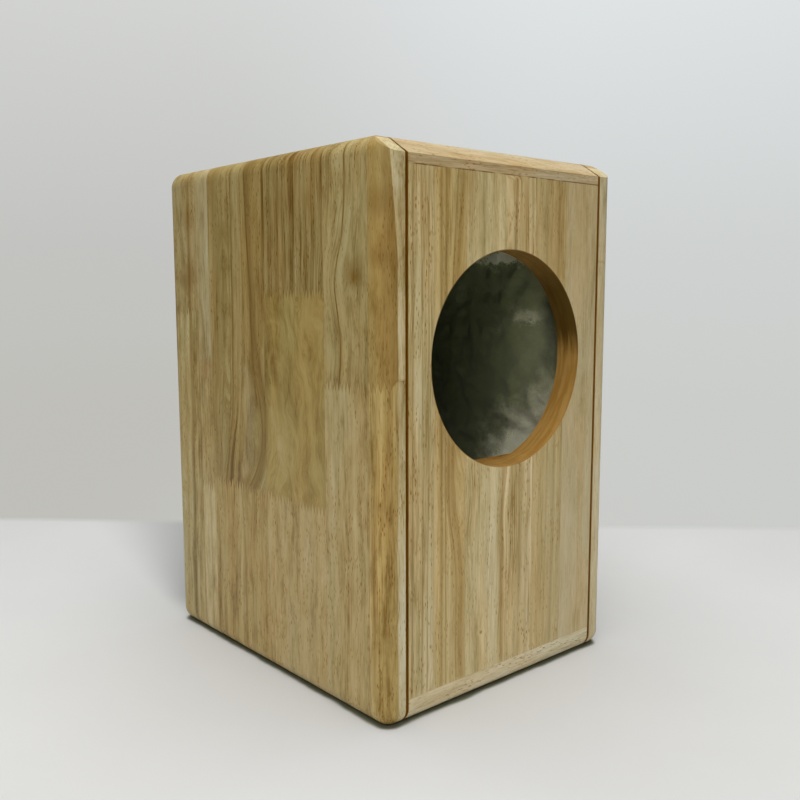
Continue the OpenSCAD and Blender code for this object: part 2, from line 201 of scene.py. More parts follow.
# What the wood's linear colour is multiplied by: where it is darkest and palest, in cool and warm
# patches, in pores and narrow lines, in figures, in the stain and painted shade of the grooves, in the
# stain of the seam, on the left side's front corner, and on the brace
DARK_TINT = (0.49, 0.385, 0.15)
PALE_TINT = (1.22, 1.33, 1.70)
COOL_TINT = (0.98, 1.005, 1.02)
WARM_TINT = (1.03, 0.985, 0.92)
PORE_TINT = (0.48, 0.30, 0.02)
FIGURE_TINT = (0.49, 0.335, 0.05)
GROOVE_STAIN_AND_SHADE_TINT = (0.42, 0.23, 0.02)
SEAM_TINT = (0.42, 0.30, 0.14)
CORNER_TINT = (0.80, 0.76, 0.66)
BRACE_TINT = (1.0, 0.72, 0.34)

# Linear colours: of a pale figure, of the hole's stained wall below, and of the same wall above
# with painted shade, where the rim keeps light from it
PALE_FIGURE = (0.62, 0.51, 0.27)
STAIN = (0.57, 0.335, 0.09)
SHADED_STAIN = (0.15, 0.09, 0.016)

# Radius and height of the driver's hole, in mm
HOLE_RADIUS = 77.5
HOLE_HEIGHT = 243.0

# Half the distance between the grooves, and the height of the seam above the baffle, in mm
GROOVE_MIDDLE = 99.0
TOP_SEAM = 372.0


class Wire:
    """A number that varies over a surface. Arithmetic on it adds Math nodes to its graph."""

    def __init__(self, graph, socket):
        self.graph = graph
        self.socket = socket

    def __add__(self, other):
        return self.graph.math("ADD", self, other)

    def __radd__(self, other):
        return self if other == 0 else self.graph.math("ADD", other, self)

    def __sub__(self, other):
        return self.graph.math("SUBTRACT", self, other)

    def __rsub__(self, other):
        return self.graph.math("SUBTRACT", other, self)

    def __mul__(self, other):
        return self.graph.math("MULTIPLY", self, other)

    __rmul__ = __mul__

    def __truediv__(self, other):
        return self.graph.math("DIVIDE", self, other)

    def __abs__(self):
        return self.graph.math("ABSOLUTE", self)

    def over(self, edge):
        """1 where this is above edge, and 0 elsewhere."""
        return self.graph.math("GREATER_THAN", self, edge)

    def least(self, other):
        return self.graph.math("MINIMUM", self, other)

    def most(self, other):
        return self.graph.math("MAXIMUM", self, other)

    def step(self, low, high):
        """A smooth step from 0 at low to 1 at high. With high below low, it falls."""
        node = self.graph.add("MapRange", interpolation_type="SMOOTHSTEP")
        rising = low < high
        values = (self, min(low, high), max(low, high), 0.0 if rising else 1.0, 1.0 if rising else 0.0)
        for socket, value in zip(node.inputs, values):
            self.graph.plug(socket, value)
        return Wire(self.graph, node.outputs[0])

    def bell(self):
        """1 where this is 0, falling off as a bell curve that is one unit wide."""
        return self.graph.math("EXPONENT", self * self * -1.0)

    def length_with(self, other):
        """The hypotenuse of a right triangle with these two sides."""
        return self.graph.math("SQRT", self * self + other * other)


class Graph:
    """A material while it is made. Its methods add nodes and give back what they put out."""

    def __init__(self, name):
        self.material = bpy.data.materials.new(name)
        self.material.use_nodes = True
        self.tree = self.material.node_tree
        self.shader = self.tree.nodes["Principled BSDF"]
        coordinates = self.add("TexCoord")
        place = self.add("VectorMath", operation="SCALE")
        self.tree.links.new(coordinates.outputs["Object"], place.inputs[0])
        place.inputs["Scale"].default_value = 1 / MM
        self.place = self.split(place.outputs[0], "XYZ")

    def add(self, kind, **settings):
        node = self.tree.nodes.new("ShaderNode" + kind)
        for name, value in settings.items():
            setattr(node, name, value)
        return node

    def plug(self, socket, value):
        """Feeds a socket from a Wire or another socket, or sets it to a plain value."""
        if isinstance(value, Wire):
            value = value.socket
        if isinstance(value, bpy.types.NodeSocket):
            self.tree.links.new(value, socket)
        else:
            socket.default_value = value

    def math(self, operation, *values):
        node = self.add("Math", operation=operation)
        for socket, value in zip(node.inputs, values):
            self.plug(socket, value)
        return Wire(self, node.outputs[0])

    def split(self, socket, kind="Color"):
        """The three numbers of a colour or, with kind XYZ, of a vector."""
        node = self.add("Separate" + kind)
        self.tree.links.new(socket, node.inputs[0])
        return tuple(Wire(self, node.outputs[i]) for i in range(3))

    def point(self, x, y, z):
        node = self.add("CombineXYZ")
        for socket, value in zip(node.inputs, (x, y, z)):
            self.plug(socket, value)
        return node.outputs[0]

    def noise(self, x, y, z, detail=2.0, rough=0.5):
        """Cloudy noise, from 0 to 1 and about 0.5 in the middle, with features a unit apart."""
        node = self.add("TexNoise")
        self.plug(node.inputs["Vector"], self.point(x, y, z))
        self.plug(node.inputs["Scale"], 1.0)
        self.plug(node.inputs["Detail"], detail)
        self.plug(node.inputs["Roughness"], rough)
        return Wire(self, node.outputs[0])

    def spots(self, x, y, z):
        """Distance to the nearest of points scattered one to a unit cube."""
        node = self.add("TexVoronoi")
        self.plug(node.inputs["Vector"], self.point(x, y, z))
        self.plug(node.inputs["Scale"], 1.0)
        return Wire(self, node.outputs["Distance"])

    def ramp(self, value, stops, interpolation="LINEAR"):
        """The colour ramp node through (place, colour) stops."""
        node = self.add("ValToRGB")
        self.plug(node.inputs[0], value)
        ramp = node.color_ramp
        ramp.interpolation = interpolation
        ramp.elements.remove(ramp.elements[1])
        ramp.elements[0].position, ramp.elements[0].color = stops[0]
        for place, colour in stops[1:]:
            ramp.elements.new(place).color = colour
        return node

    def choose(self, index, rows):
        """A ramp node that gives row number index of a list of rows of four numbers."""
        stops = [(i / len(rows), row) for i, row in enumerate(rows)]
        return self.ramp((index + 0.5) / len(rows), stops, "CONSTANT")

    def chosen(self, index, rows):
        """The four numbers of row number index."""
        node = self.choose(index, rows)
        return (*self.split(node.outputs["Color"]), Wire(self, node.outputs["Alpha"]))

    def curve(self, value, points):
        """A smooth curve through (value, result) points, both from 0 to 1."""
        node = self.add("FloatCurve")
        line = node.mapping.curves[0]
        line.points[0].location = points[0]
        line.points[1].location = points[-1]
        for point in points[1:-1]:
            line.points.new(*point)
        node.mapping.update()
        self.plug(node.inputs["Value"], value)
        return Wire(self, node.outputs[0])

    def blend(self, amount, first, second, how="MIX"):
        """A mix of two colours, each a socket or a linear (r, g, b)."""
        node = self.add("Mix", data_type="RGBA", blend_type=how)
        self.plug(node.inputs["Factor"], amount)
        for socket, colour in zip(node.inputs[6:8], (first, second)):
            self.plug(socket, (*colour, 1.0) if isinstance(colour, tuple) else colour)
        return node.outputs[2]

    def tinted(self, amount, colour, tint):
        """The colour, multiplied by a tint where amount is 1."""
        return self.blend(amount, colour, self.blend(1.0, colour, tint, "MULTIPLY"))

    def bump(self, height, depth, strength=1.0):
        """Roughens the surface by a height from 0 to 1 that stands for depth mm."""
        node = self.add("Bump")
        self.plug(node.inputs["Strength"], strength)
        self.plug(node.inputs["Distance"], depth * MM)
        self.plug(node.inputs["Height"], height)
        self.tree.links.new(node.outputs[0], self.shader.inputs["Normal"])

    def finish(self, **inputs):
        """Sets the shader's sockets by name, with _ for a space, and gives back the material."""
        for name, value in inputs.items():
            self.plug(self.shader.inputs[name.replace("_", " ")], value)
        return self.material


def screen(colour):
    """A screen colour, 0 to 255, as linear light."""
    return tuple(((c / 255 + 0.055) / 1.055) ** 2.4 for c in colour)


# ---- wood ----

def measured(graph, node, way):
    """Distance in mm from a side of a CAD node: +x counts from its lowest x, -x from its highest."""
    axis = "xyz".index(way[1])
    low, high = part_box(node)
    if way[0] == "+":
        return graph.place[axis] - low[axis] / MM
    return high[axis] / MM - graph.place[axis]


def extent(node, way):
    """How long a CAD node is in mm, along the axis that way names."""
    axis = "xyz".index(way[1])
    low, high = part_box(node)
    return (high[axis] - low[axis]) / MM


def stave_cells(graph, u, v, staves):
    """Finds where a point lies among a board's staves. Returns the middle of its stave, the number of the
    length it lies in, counting all lengths of the board, and the distance to a seam."""
    edges = list(itertools.accumulate(width for width, lengths in staves))
    stave = sum(u.over(edge) for edge in edges[:-1])
    rows = []
    middles = []
    count = 0
    for (width, lengths), edge in zip(staves, edges):
        tops = [top for top, cut, colour in lengths[:-1]]
        joints = (tops + [NO_JOINT] * MOST_JOINTS)[:MOST_JOINTS]
        rows.append([joint / NO_JOINT for joint in joints] + [count / CELL_SCALE])
        middles.append(((edge - width / 2) / NO_JOINT, 0.0, 0.0, 1.0))
        count += len(lengths)
    *joints, first = graph.chosen(stave, rows)
    middle = graph.chosen(stave, middles)[0] * NO_JOINT
    seam = abs(u - edges[0])
    for edge in edges[1:-1]:
        seam = seam.least(abs(u - edge))
    tip = v + graph.math("PINGPONG", u, FINGER_PITCH / 2) * FINGER_SLOPE - FINGER_LENGTH / 2
    most_lengths = max(len(lengths) for width, lengths in staves)
    segment = 0
    for joint in joints[:most_lengths - 1]:
        height = joint * NO_JOINT
        segment = tip.over(height) + segment
        seam = seam.least(abs(tip - height) / FINGER_SLOPE)
    return middle, first * CELL_SCALE + segment, seam


def bent_grain(graph, u, v, width, length, figures, knots):
    """The grain's own sideways coordinate, bent round a board's figures and knots, and how dark they
    make the wood."""
    flowed = u
    marks = 0
    for figure in figures:
        path = figure["path"]
        line = graph.curve(v / length, [(at / length, place / width) for at, place in path]) * width
        begun = (v - path[0][0]).step(-FIGURE_FADE, FIGURE_FADE)
        strength = begun * (v - path[-1][0]).step(FIGURE_FADE, -FIGURE_FADE)
        if "reach" in figure:
            near = ((u - line) / figure["reach"]).bell() * strength
            flowed = flowed - (line - path[0][1]) * near
        marks = ((u - line) / figure["thick"]).bell() * strength * figure["dark"] + marks
    for knot in knots:
        size = knot["size"]
        from_u = u - knot["at"][0]
        from_v = (v - knot["at"][1]) / size
        push = from_u / from_u.length_with(size) * from_v.bell() * knot["push"]
        flowed = flowed - push * (from_u / (3 * size)).bell()
        marks = (from_u / size).length_with(from_v).step(1.0, 0.1) * knot["dark"] + marks
    return flowed, marks


def with_sapwood(graph, colour, u, v, w):
    """Turns the inner part of the left side's front stave into sapwood, and stains its outer corner."""
    wobble = graph.noise(u * 0.05, v * 0.012, w * 0.05, detail=4.0) - 0.5
    reach = v.step(300.0, 385.0) * -GOLD_LOSS + GOLD_DEPTH
    colour = graph.tinted(u.step(13.0, 1.0) * w.step(0.2, 4.0), colour, CORNER_TINT)
    pale = (w + wobble * 4.0 - reach).step(-0.4, 0.6) * u.step(SAP_STAVE + 0.5, SAP_STAVE - 0.5)
    return graph.blend(pale, colour, screen(SAPWOOD))


def with_joint_stain_and_shade(graph, colour, node):
    """Stain, glue and painted shade in the grooves, and stain and glue along the seam above the baffle.
    """
    x, _, z = graph.place
    # Painted shade in the grooves' recess, on top of their stain and glue
    groove_stain_and_shade = abs(abs(x) - GROOVE_MIDDLE).step(1.6, 1.15) * (z.step(383.0, 379.0) * 0.6 + 0.4)
    colour = graph.tinted(groove_stain_and_shade, colour, GROOVE_STAIN_AND_SHADE_TINT)
    if node in ("front_baffle", "top_panel"):
        broken = graph.noise(x * 0.06, 0.0, z * 0.01, detail=3.0).step(0.35, 0.60)
        colour = graph.tinted(abs(z - TOP_SEAM).step(0.6, 0.2) * broken, colour, SEAM_TINT)
    return colour


def with_bored_hole(graph, colour):
    """The stained and turned wall of the driver's hole, darker above with painted shade."""
    x, y, z = graph.place
    routed = x.length_with(z - HOLE_HEIGHT).step(HOLE_RADIUS + 0.5, HOLE_RADIUS + 0.2)
    curl = graph.noise(x * 0.05, y * 0.12, z * 0.05, detail=2.0)
    swirl = graph.noise(x * 0.03 + curl, y * 0.3 + curl, z * 0.03, detail=4.0, rough=0.6) - 0.5
    # Painted shade: the upper half is darker, as the hole's rim keeps the light from it, a little less so
    # at the very top
    upper_shade = (z + swirl * 24.0).step(236.0, 264.0) * (1.0 - z.step(290.0, 320.0) * 0.35)
    stain_and_shade = graph.blend(upper_shade, STAIN, SHADED_STAIN)
    pale = graph.blend(1.0, stain_and_shade, (1.10, 1.12, 1.2), "MULTIPLY")
    deep = graph.blend(1.0, stain_and_shade, (0.84, 0.76, 0.6), "MULTIPLY")
    turned = graph.blend(swirl.step(-0.12, 0.14), pale, deep)
    bare = graph.blend(0.72, graph.blend(1.0, colour, stain_and_shade, "MULTIPLY"), turned)
    return graph.blend(routed, colour, bare)


def board_wood(node, across, along, deep, staves, figures=(), knots=(), seed=0.0,
               sapwood=False, fade=0.0, rough=0.9):
    """Edge-glued staves of pale hardwood. across, along and deep say how the board lies: from which side
    its width, its length and its depth are measured, as measured() takes them. fade is how much paler
    its lower end is than its upper, and rough is how mottled it is."""
    graph = Graph(node + "_wood")
    u = measured(graph, node, across)
    v = measured(graph, node, along)
    w = measured(graph, node, deep)
    length = extent(node, along)
    middle, cell, seam = stave_cells(graph, u, v, staves)
    cells = [(CUTS[cut], colour) for width, lengths in staves for top, cut, colour in lengths]
    base = graph.choose(cell, [(*screen(colour), cut["streaks"] / 2) for cut, colour in cells])
    streaks = Wire(graph, base.outputs["Alpha"]) * 2.0
    pith, depth, tilt, pores = graph.chosen(cell, [
        (cut["pith"] / PLACE_SCALE + 0.5, cut["depth"] / PLACE_SCALE, cut["tilt"] + 0.5, cut["pores"])
        for cut, colour in cells])
    lines, wild = graph.chosen(cell, [(cut["lines"], cut["wild"], 0.0, 1.0) for cut, colour in cells])[:2]
    seed = cell * 7.3 + seed

    # Distance from the middle of the tree, round which the grain lies in rings
    flowed, marks = bent_grain(graph, u, v, extent(node, across), length, figures, knots)
    drift = graph.noise(u * 0.02, v * 0.008, seed) - 0.5
    sway = graph.noise(u * 0.035, v * 0.02, seed + 3.0, detail=3.0) - 0.5
    sideways = flowed - middle - (pith - 0.5) * PLACE_SCALE + drift * 12.0 + sway * wild * 60.0
    behind = w + depth * PLACE_SCALE + (tilt - 0.5) * v
    radius = sideways.length_with(behind)

    # Patterns drawn out along the grain, from broad bands to single pores
    bands = graph.noise(radius * 0.08, v * 0.003, seed, detail=6.0, rough=0.6) - 0.5
    hairs = graph.noise(radius * 0.9, v * 0.018, seed + 80.0, detail=3.0, rough=0.65) - 0.5
    fine = graph.noise(radius * 0.45, v * 0.010, seed + 40.0, detail=3.0, rough=0.6)
    fibre = graph.noise(sideways * 1.3, v * 0.05, w * 1.3, detail=3.0, rough=0.75) - 0.5
    blotch = graph.noise(u * 0.03, v * 0.012, seed + 9.0) - 0.5
    patches = graph.noise(radius * 0.2, v * 0.03, seed + 20.0, detail=3.0).step(0.40, 0.60)
    mottle = graph.noise(sideways * 0.16, v * 0.035, w * 0.16 + seed, detail=4.0, rough=0.65) - 0.5
    short = graph.spots((u + drift * 12.0) / 1.4, v / 6.0, w / 1.4 + seed).step(0.36, 0.12)
    long = graph.spots(sideways / 2.4, v / 42.0, w / 2.4 - seed).step(0.18, 0.06)
    pore = (short * patches * (pores * 0.6 + 0.4) + long * 0.7) * pores
    ring = graph.math("FRACT", radius * 0.11 + fine * 2.0)
    latewood = ring * ring * ring * ring.step(1.0, 0.94)
    narrow = (fine.step(0.54, 0.68) + latewood * 1.5) * lines
    glue = seam.step(0.4, 0.1)

    busy = graph.noise(radius * 0.045, v * 0.002, seed + 50.0).step(0.36, 0.62) * 0.9 + 0.45
    tone = (bands * 2.0 + hairs * 0.7) * streaks * busy
    tone = tone + blotch * 0.45 + fibre * 0.9 + mottle * rough + 0.52
    if fade:
        tone = tone - (v / length - 0.5) * fade
    tint = graph.ramp(tone, [(0.0, (*DARK_TINT, 1)), (0.5, (1, 1, 1, 1)), (1.0, (*PALE_TINT, 1))])
    colour = base.outputs["Color"]
    if sapwood:
        colour = with_sapwood(graph, colour, u, v, w)
    colour = graph.blend(1.0, colour, tint.outputs["Color"], "MULTIPLY")
    warmth = graph.noise(u * 0.05, v * 0.008, seed + 60.0, detail=2.0).step(0.35, 0.65)
    colour = graph.blend(1.0, colour, graph.blend(warmth, COOL_TINT, WARM_TINT), "MULTIPLY")
    colour = graph.tinted((narrow * 0.4 + pore * 0.8 + glue * 0.25).least(1.0), colour, PORE_TINT)
    if figures:
        marks = marks * (fibre * 1.4 + mottle * 2.6 + 1.0)
        colour = graph.tinted(marks.most(0.0).least(1.0), colour, FIGURE_TINT)
        colour = graph.blend((marks * -1.0).most(0.0).least(1.0), colour, PALE_FIGURE)
    colour = with_joint_stain_and_shade(graph, colour, node)
    if node == "front_baffle":
        colour = with_bored_hole(graph, colour)
    if node == "front_brace":
        colour = graph.blend(1.0, colour, BRACE_TINT, "MULTIPLY")
    graph.bump(fibre * 0.4 - pore - glue * 0.3, 0.12, 0.7)
    shine = 0.45 + pore * 0.2 + fibre * 0.15
    return graph.finish(Base_Color=colour, Roughness=shine, Specular_IOR_Level=0.3)


def other_staves(seed, width, height, joints):
    """Staves picked for a board whose own aren't listed above. They fill its width."""
    pick = random.Random(seed)
    staves = []
    left = width
    while left > 0:
        wide = min(left, pick.choice(OTHER_WIDTHS))
        if left - wide < LEAST_WIDTH:
            wide = left
        tops = sorted(pick.uniform(0.15, 0.85) * height for _ in range(joints)) + [height]
        lengths = [(top, pick.choice(OTHER_CUTS), pick.choice(OTHER_COLOURS)) for top in tops]
        staves.append((wide, tuple(lengths)))
        left -= wide
    return tuple(staves)


def paint(node, material):
    """Gives a CAD node one material."""
    mesh = frame["nodes"][node].data
    mesh.materials.clear()
    mesh.materials.append(material)


# ---- plastics, metals and foam ----

def scaled(colour, factor):
    """A colour made brighter or darker, as a colour ramp takes it."""
    return (*[part * factor for part in colour], 1)


def moulded(name, colour, roughness, grain=0.03):
    """Injection-moulded plastic: an even colour, a fine spark-eroded grain and a few rubbed patches."""
    graph = Graph(name)
    x, y, z = graph.place
    dust = graph.noise(x * 0.05, y * 0.05, z * 0.05, detail=5.0, rough=0.6)
    pitted = graph.noise(x * 3.0, y * 3.0, z * 3.0, detail=2.0)
    shade = graph.ramp(dust, [(0.35, scaled(colour, 0.85)), (0.7, scaled(colour, 1.2))])
    graph.bump(pitted, grain, 0.6)
    return graph.finish(Base_Color=shade.outputs["Color"], Roughness=roughness + (dust - 0.5) * 0.25)


def metal(name, colour, roughness):
    """Turned or pressed metal with fine tool marks and a slightly uneven tarnish."""
    graph = Graph(name)
    x, y, z = graph.place
    marks = graph.noise(x * 1.2, y * 9.0, z * 1.2, detail=3.0, rough=0.6)
    tarnish = graph.noise(x * 0.15, y * 0.15, z * 0.15, detail=4.0)
    shade = graph.ramp(tarnish, [(0.3, scaled(colour, 0.8)), (0.65, (*colour, 1))])
    graph.bump(marks, 0.015, 0.5)
    roughness = roughness + (marks - 0.5) * 0.2 + (0.6 - tarnish) * 0.15
    return graph.finish(Base_Color=shade.outputs["Color"], Metallic=1.0, Roughness=roughness)


def foam(name, colour):
    """Closed-cell foam sheet: small round cells in a matt black skin."""
    graph = Graph(name)
    x, y, z = graph.place
    cells = graph.spots(x / 0.8, y / 0.8, z / 0.8)
    shade = graph.ramp(cells, [(0.1, scaled(colour, 0.5)), (0.5, (*colour, 1))])
    graph.bump(cells, 0.2, 0.8)
    return graph.finish(Base_Color=shade.outputs["Color"], Roughness=0.95)


# ---- wadding ----

# Painted patches of light on the right wall's sheet: y and z of the middle, half length and half height
# in mm, and strength
LIT_PATCHES = (
    (-86, 271, 18, 8, 0.58),
    (-100, 272, 10, 10, 0.34),
    (-70, 277, 9, 6, 0.34),
    (-58, 319, 28, 6, 1.1),
    (-88, 236, 14, 14, 0.22),
)
# The painted pool of light below the hole: a point (y, z) on its edge in mm, and the way out of it from
# there
LIGHT_POOL_EDGE = (-118.0, 237.0)
LIGHT_POOL_OUT = (0.82, 0.571)
# The wadding's colour in painted shade, half lit, and in painted light
FIBRE_IN_SHADE = (0.178, 0.21, 0.09)
FIBRE_HALF_LIT = (0.375, 0.40, 0.22)
FIBRE_IN_LIGHT = (0.98, 0.98, 0.73)

# The sheets' staples are this far apart, in mm
STAPLE_PITCH = 62.0

# How the sheets are inflated, in metres: size of their voxels, how far the CAD solid's open face is
# lowered first, how far a point may swell, how near its wall a point is glued, and the radius and
# the depth to which a staple holds
SHEET_VOXEL = 0.006
SHEET_SETTLE = 0.005
SWELL_LIMIT = 0.005
GLUED = 0.004
STAPLE_RADIUS = 0.005
STAPLE_DEPTH = 0.012
SHEET_FRAMES = 16
PRESSURE = 4.0

# Heights of the lumps and tufts, and how far they are sunk, in mm
LUMPS = 1.8
TUFT_HEIGHT = 2.4
SUNK = 1.6

# What the sheets stay clear of, in metres: the radius round the port tube, the gap to the brace, and
# the terminal cup's body
TUBE_CLEAR = 0.030
GAP = 0.0005
CUP_HALF_WIDTH = 0.0452
CUP_HALF_HEIGHT = 0.0352
CUP_MIDDLE = 0.110
CUP_FRONT = 0.1035

# Each sheet's axis of thickness, and which side of it the wall is on
SHEETS = {
    "left_wadding": (0, -1),
    "right_wadding": (0, 1),
    "top_wadding": (2, 1),
    "bottom_wadding": (2, -1),
    "rear_wadding": (1, 1),
}


def wadding_fibre():
    """Pale polyester wadding with painted light and shade: dim grey-green where it is in painted shade,
    and pale in painted pools and patches of light, with wispy edges.
    """
    graph = Graph("wadding_fibre")
    x, y, z = graph.place
    warp = graph.noise(x * 0.05, y * 0.05, z * 0.05, detail=4.0, rough=0.6) - 0.5
    cloud = graph.noise(x * 0.03 + warp, y * 0.03 + warp, z * 0.03, detail=6.0, rough=0.62)
    wisps = graph.noise(x * 0.2 + warp * 6.0, y * 0.12 + warp * 4.0, z * 0.2, detail=6.0, rough=0.7)
    strands = graph.noise(x * 1.2 + warp * 30.0, y * 0.8, z * 0.5 + warp * 18.0, detail=4.0, rough=0.7)

    # Painted light on the wadding: the pool of light below the hole with a notch of painted shade in it,
    # thinner light towards the front, the lit patches and a few stray pale clouds
    edge = (y - LIGHT_POOL_EDGE[0]) * LIGHT_POOL_OUT[0] + (z - LIGHT_POOL_EDGE[1]) * LIGHT_POOL_OUT[1]
    edge = edge + (wisps - 0.5) * 46.0 + (cloud - 0.5) * 70.0
    pale = edge.step(34.0, -14.0) * (z.step(235.0, 168.0) * 0.55 + 0.45)
    shade_notch = ((y + 86.0 + warp * 20.0) / 11.0).length_with((z - 197.0) / 7.0).bell()
    pale = pale * (1.0 - shade_notch * 0.5)
    lit_front = (y * -1.0 + (cloud - 0.5) * 50.0).step(35.0, 105.0) * y.step(-118.0, -98.0)
    pale = pale.most(lit_front * 0.2)
    for at_y, at_z, half_y, half_z, strength in LIT_PATCHES:
        across = (y - at_y + warp * 22.0) / half_y
        up = (z - at_z + (wisps - 0.5) * 26.0) / half_z
        pale = pale.most(across.length_with(up).bell() * strength)
    pale = pale.most(cloud.step(0.52, 0.75) * 0.22)
    pale = pale * (0.46 + wisps * 1.36) + (strands - 0.5) * 0.6 * (pale + 0.12)
    pale = pale.least(1.0).most(0.0)
    shade = graph.ramp(pale, [(0.0, (*FIBRE_IN_SHADE, 1)), (0.35, (*FIBRE_HALF_LIT, 1)), (1.0, (*FIBRE_IN_LIGHT, 1))])

    # Painted shade: dimmer lower down, except in the painted pool of light, and beside the baffle
    baffle_shade = y.step(-98.0, -112.0) * z.step(210.0, 236.0)
    light_level = (z.step(140.0, 320.0) * 0.5 + 0.76) * (1.0 - baffle_shade * 0.6)
    light_level = light_level.most(pale * z.step(215.0, 170.0) * 1.1)
    colour = graph.blend(1.0, shade.outputs["Color"], graph.point(light_level, light_level, light_level), "MULTIPLY")
    graph.bump(wisps * 0.6 + strands * 0.4, 1.4, 0.9)
    return graph.finish(Base_Color=colour, Roughness=1.0, Sheen_Weight=0.25, Sheen_Roughness=0.6)


def solid_mesh(piece):
    """The mesh that a piece's modifiers make of it."""
    evaluated = piece.evaluated_get(bpy.context.evaluated_depsgraph_get())
    return bpy.data.meshes.new_from_object(evaluated)


def settle(piece, kind, **settings):
    """Adds a modifier, applies it to the piece's mesh and removes it."""
    modifier = piece.modifiers.new(kind.lower(), kind)
    for name, value in settings.items():
        setattr(modifier, name, value)
    mesh = solid_mesh(piece)
    piece.modifiers.remove(modifier)
    piece.data = mesh


def inflate(piece, axis, wall, open_face, pick):
    """Blows a sheet up as cloth. It stays glued to its wall, and held down at the staples."""
    start = [vertex.co.copy() for vertex in piece.data.vertices]
    first, second = (i for i in range(3) if i != axis)
    low = [min(co[i] for co in start) for i in range(3)]
    high = [max(co[i] for co in start) for i in range(3)]
    pitch = STAPLE_PITCH * MM
    staples = []
    for a in range(int((high[first] - low[first]) / pitch) + 1):
        for b in range(int((high[second] - low[second]) / pitch) + 1):
            staples.append((low[first] + (a + pick.uniform(0.25, 0.75)) * pitch,
                            low[second] + (b + pick.uniform(0.25, 0.75)) * pitch))
    held = []
    for i, co in enumerate(start):
        near = min(math.hypot(co[first] - a, co[second] - b) for a, b in staples)
        glued = abs(co[axis] - wall) < GLUED
        stapled = near < STAPLE_RADIUS and abs(co[axis] - open_face) < STAPLE_DEPTH
        if glued or stapled:
            held.append(i)
    group = piece.vertex_groups.new(name="held")
    group.add(held, 1.0, "REPLACE")
    cloth = piece.modifiers.new("cloth", "CLOTH")
    cloth.settings.quality = 4
    cloth.settings.mass = 0.2
    cloth.settings.use_pressure = True
    cloth.settings.uniform_pressure_force = PRESSURE
    cloth.settings.vertex_group_mass = "held"
    cloth.settings.effector_weights.gravity = 0.0
    cloth.collision_settings.use_collision = False
    scene = bpy.context.scene
    for number in range(1, SHEET_FRAMES + 1):
        scene.frame_set(number)
    mesh = solid_mesh(piece)
    piece.modifiers.remove(cloth)
    piece.vertex_groups.clear()
    piece.data = mesh
    scene.frame_set(1)
    for vertex, co in zip(mesh.vertices, start):
        moved = vertex.co - co
        if moved.length > SWELL_LIMIT:
            vertex.co = co + moved * (SWELL_LIMIT / moved.length)


def wadding_sheet(node, axis, side, fibre, seed):
    """One sheet, from its CAD solid. axis is the one that its thickness lies along, and side is 1
    where its wall is on the axis's high side and -1 where it is on the low side."""
    source = frame["nodes"][node]
    low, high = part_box(node)
    wall, open_face = (high[axis], low[axis]) if side > 0 else (low[axis], high[axis])
    mesh = source.data.copy()
    for vertex in mesh.vertices:
        if abs(vertex.co[axis] - open_face) < 1e-5:
            vertex.co[axis] += side * SHEET_SETTLE
    piece = bpy.data.objects.new(node + "_sheet", mesh)
    bpy.context.scene.collection.objects.link(piece)
    pick = random.Random(seed)
    settle(piece, "REMESH", mode="VOXEL", voxel_size=SHEET_VOXEL)
    inflate(piece, axis, wall, open_face, pick)
    settle(piece, "SUBSURF", levels=1, subdivision_type="CATMULL_CLARK")
    mesh = piece.data
    shift = Vector((pick.uniform(0, 9), pick.uniform(0, 9), pick.uniform(0, 9)))
    normals = [vertex.normal.copy() for vertex in mesh.vertices]
    for vertex, normal in zip(mesh.vertices, normals):
        co = vertex.co
        lump = noise.fractal(co * 30 + shift, 0.9, 2.0, 3) * LUMPS
        tuft = noise.turbulence(co * 95 + shift, 4, False) * TUFT_HEIGHT
        vertex.co = co + normal * (lump + tuft - SUNK) * MM
        for i in range(3):
            vertex.co[i] = min(max(vertex.co[i], low[i]), high[i])
    keep_clear(mesh)
    mesh.polygons.foreach_set("use_smooth", [True] * len(mesh.polygons))
    mesh.materials.clear()
    mesh.materials.append(fibre)
    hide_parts(node)
    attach(piece, "cabinet")
    return piece


def keep_clear(mesh):
    """Pushes a sheet's points out of the brace, the port tube and the terminal cup."""
    tube_low, tube_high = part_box("port_tube")
    middle = ((tube_low[0] + tube_high[0]) / 2, (tube_low[2] + tube_high[2]) / 2)
    brace_low, brace_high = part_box("front_brace")
    for vertex in mesh.vertices:
        x, y, z = vertex.co
        out = math.hypot(x - middle[0], z - middle[1])
        if out < TUBE_CLEAR and y > tube_low[1]:
            vertex.co.x = middle[0] + (x - middle[0]) * TUBE_CLEAR / out
            vertex.co.z = middle[1] + (z - middle[1]) * TUBE_CLEAR / out
        if y < brace_high[1] + GAP and brace_low[2] - GAP < z < brace_high[2] + GAP:
            up = z > (brace_low[2] + brace_high[2]) / 2
            vertex.co.z = brace_high[2] + GAP if up else brace_low[2] - GAP
        sides = CUP_HALF_WIDTH - abs(x)
        ends = CUP_HALF_HEIGHT - abs(z - CUP_MIDDLE)
        if y > CUP_FRONT and sides > 0 and ends > 0:
            if sides < ends:
                vertex.co.x = math.copysign(CUP_HALF_WIDTH, x)
            else:
                vertex.co.z = CUP_MIDDLE + math.copysign(CUP_HALF_HEIGHT, z - CUP_MIDDLE)


# ---- room ----

# The camera's place in metres, the way it looks, its roll in radians, and its lens and sensor in mm
EYE = (-0.4782, -0.5705, 0.29425)
LOOK = (0.6525, 0.7474, -0.1252)
ROLL = 0.0024
LENS = 40.1
SENSOR = 36.0

# The level way from the camera's side of the room to the far wall
AHEAD = (0.6577, 0.7533)

# The far edge of the floor, in metres: its distance ahead of the origin, how much that falls for each
# metre to the right, how much it wavers and half the width of its blur
FLOOR_END = 0.344
FLOOR_SLANT = 0.056
FLOOR_WAVER = 0.015
FLOOR_BLUR = 0.015
FLOOR_COLOUR = (0.725, 0.735, 0.735)

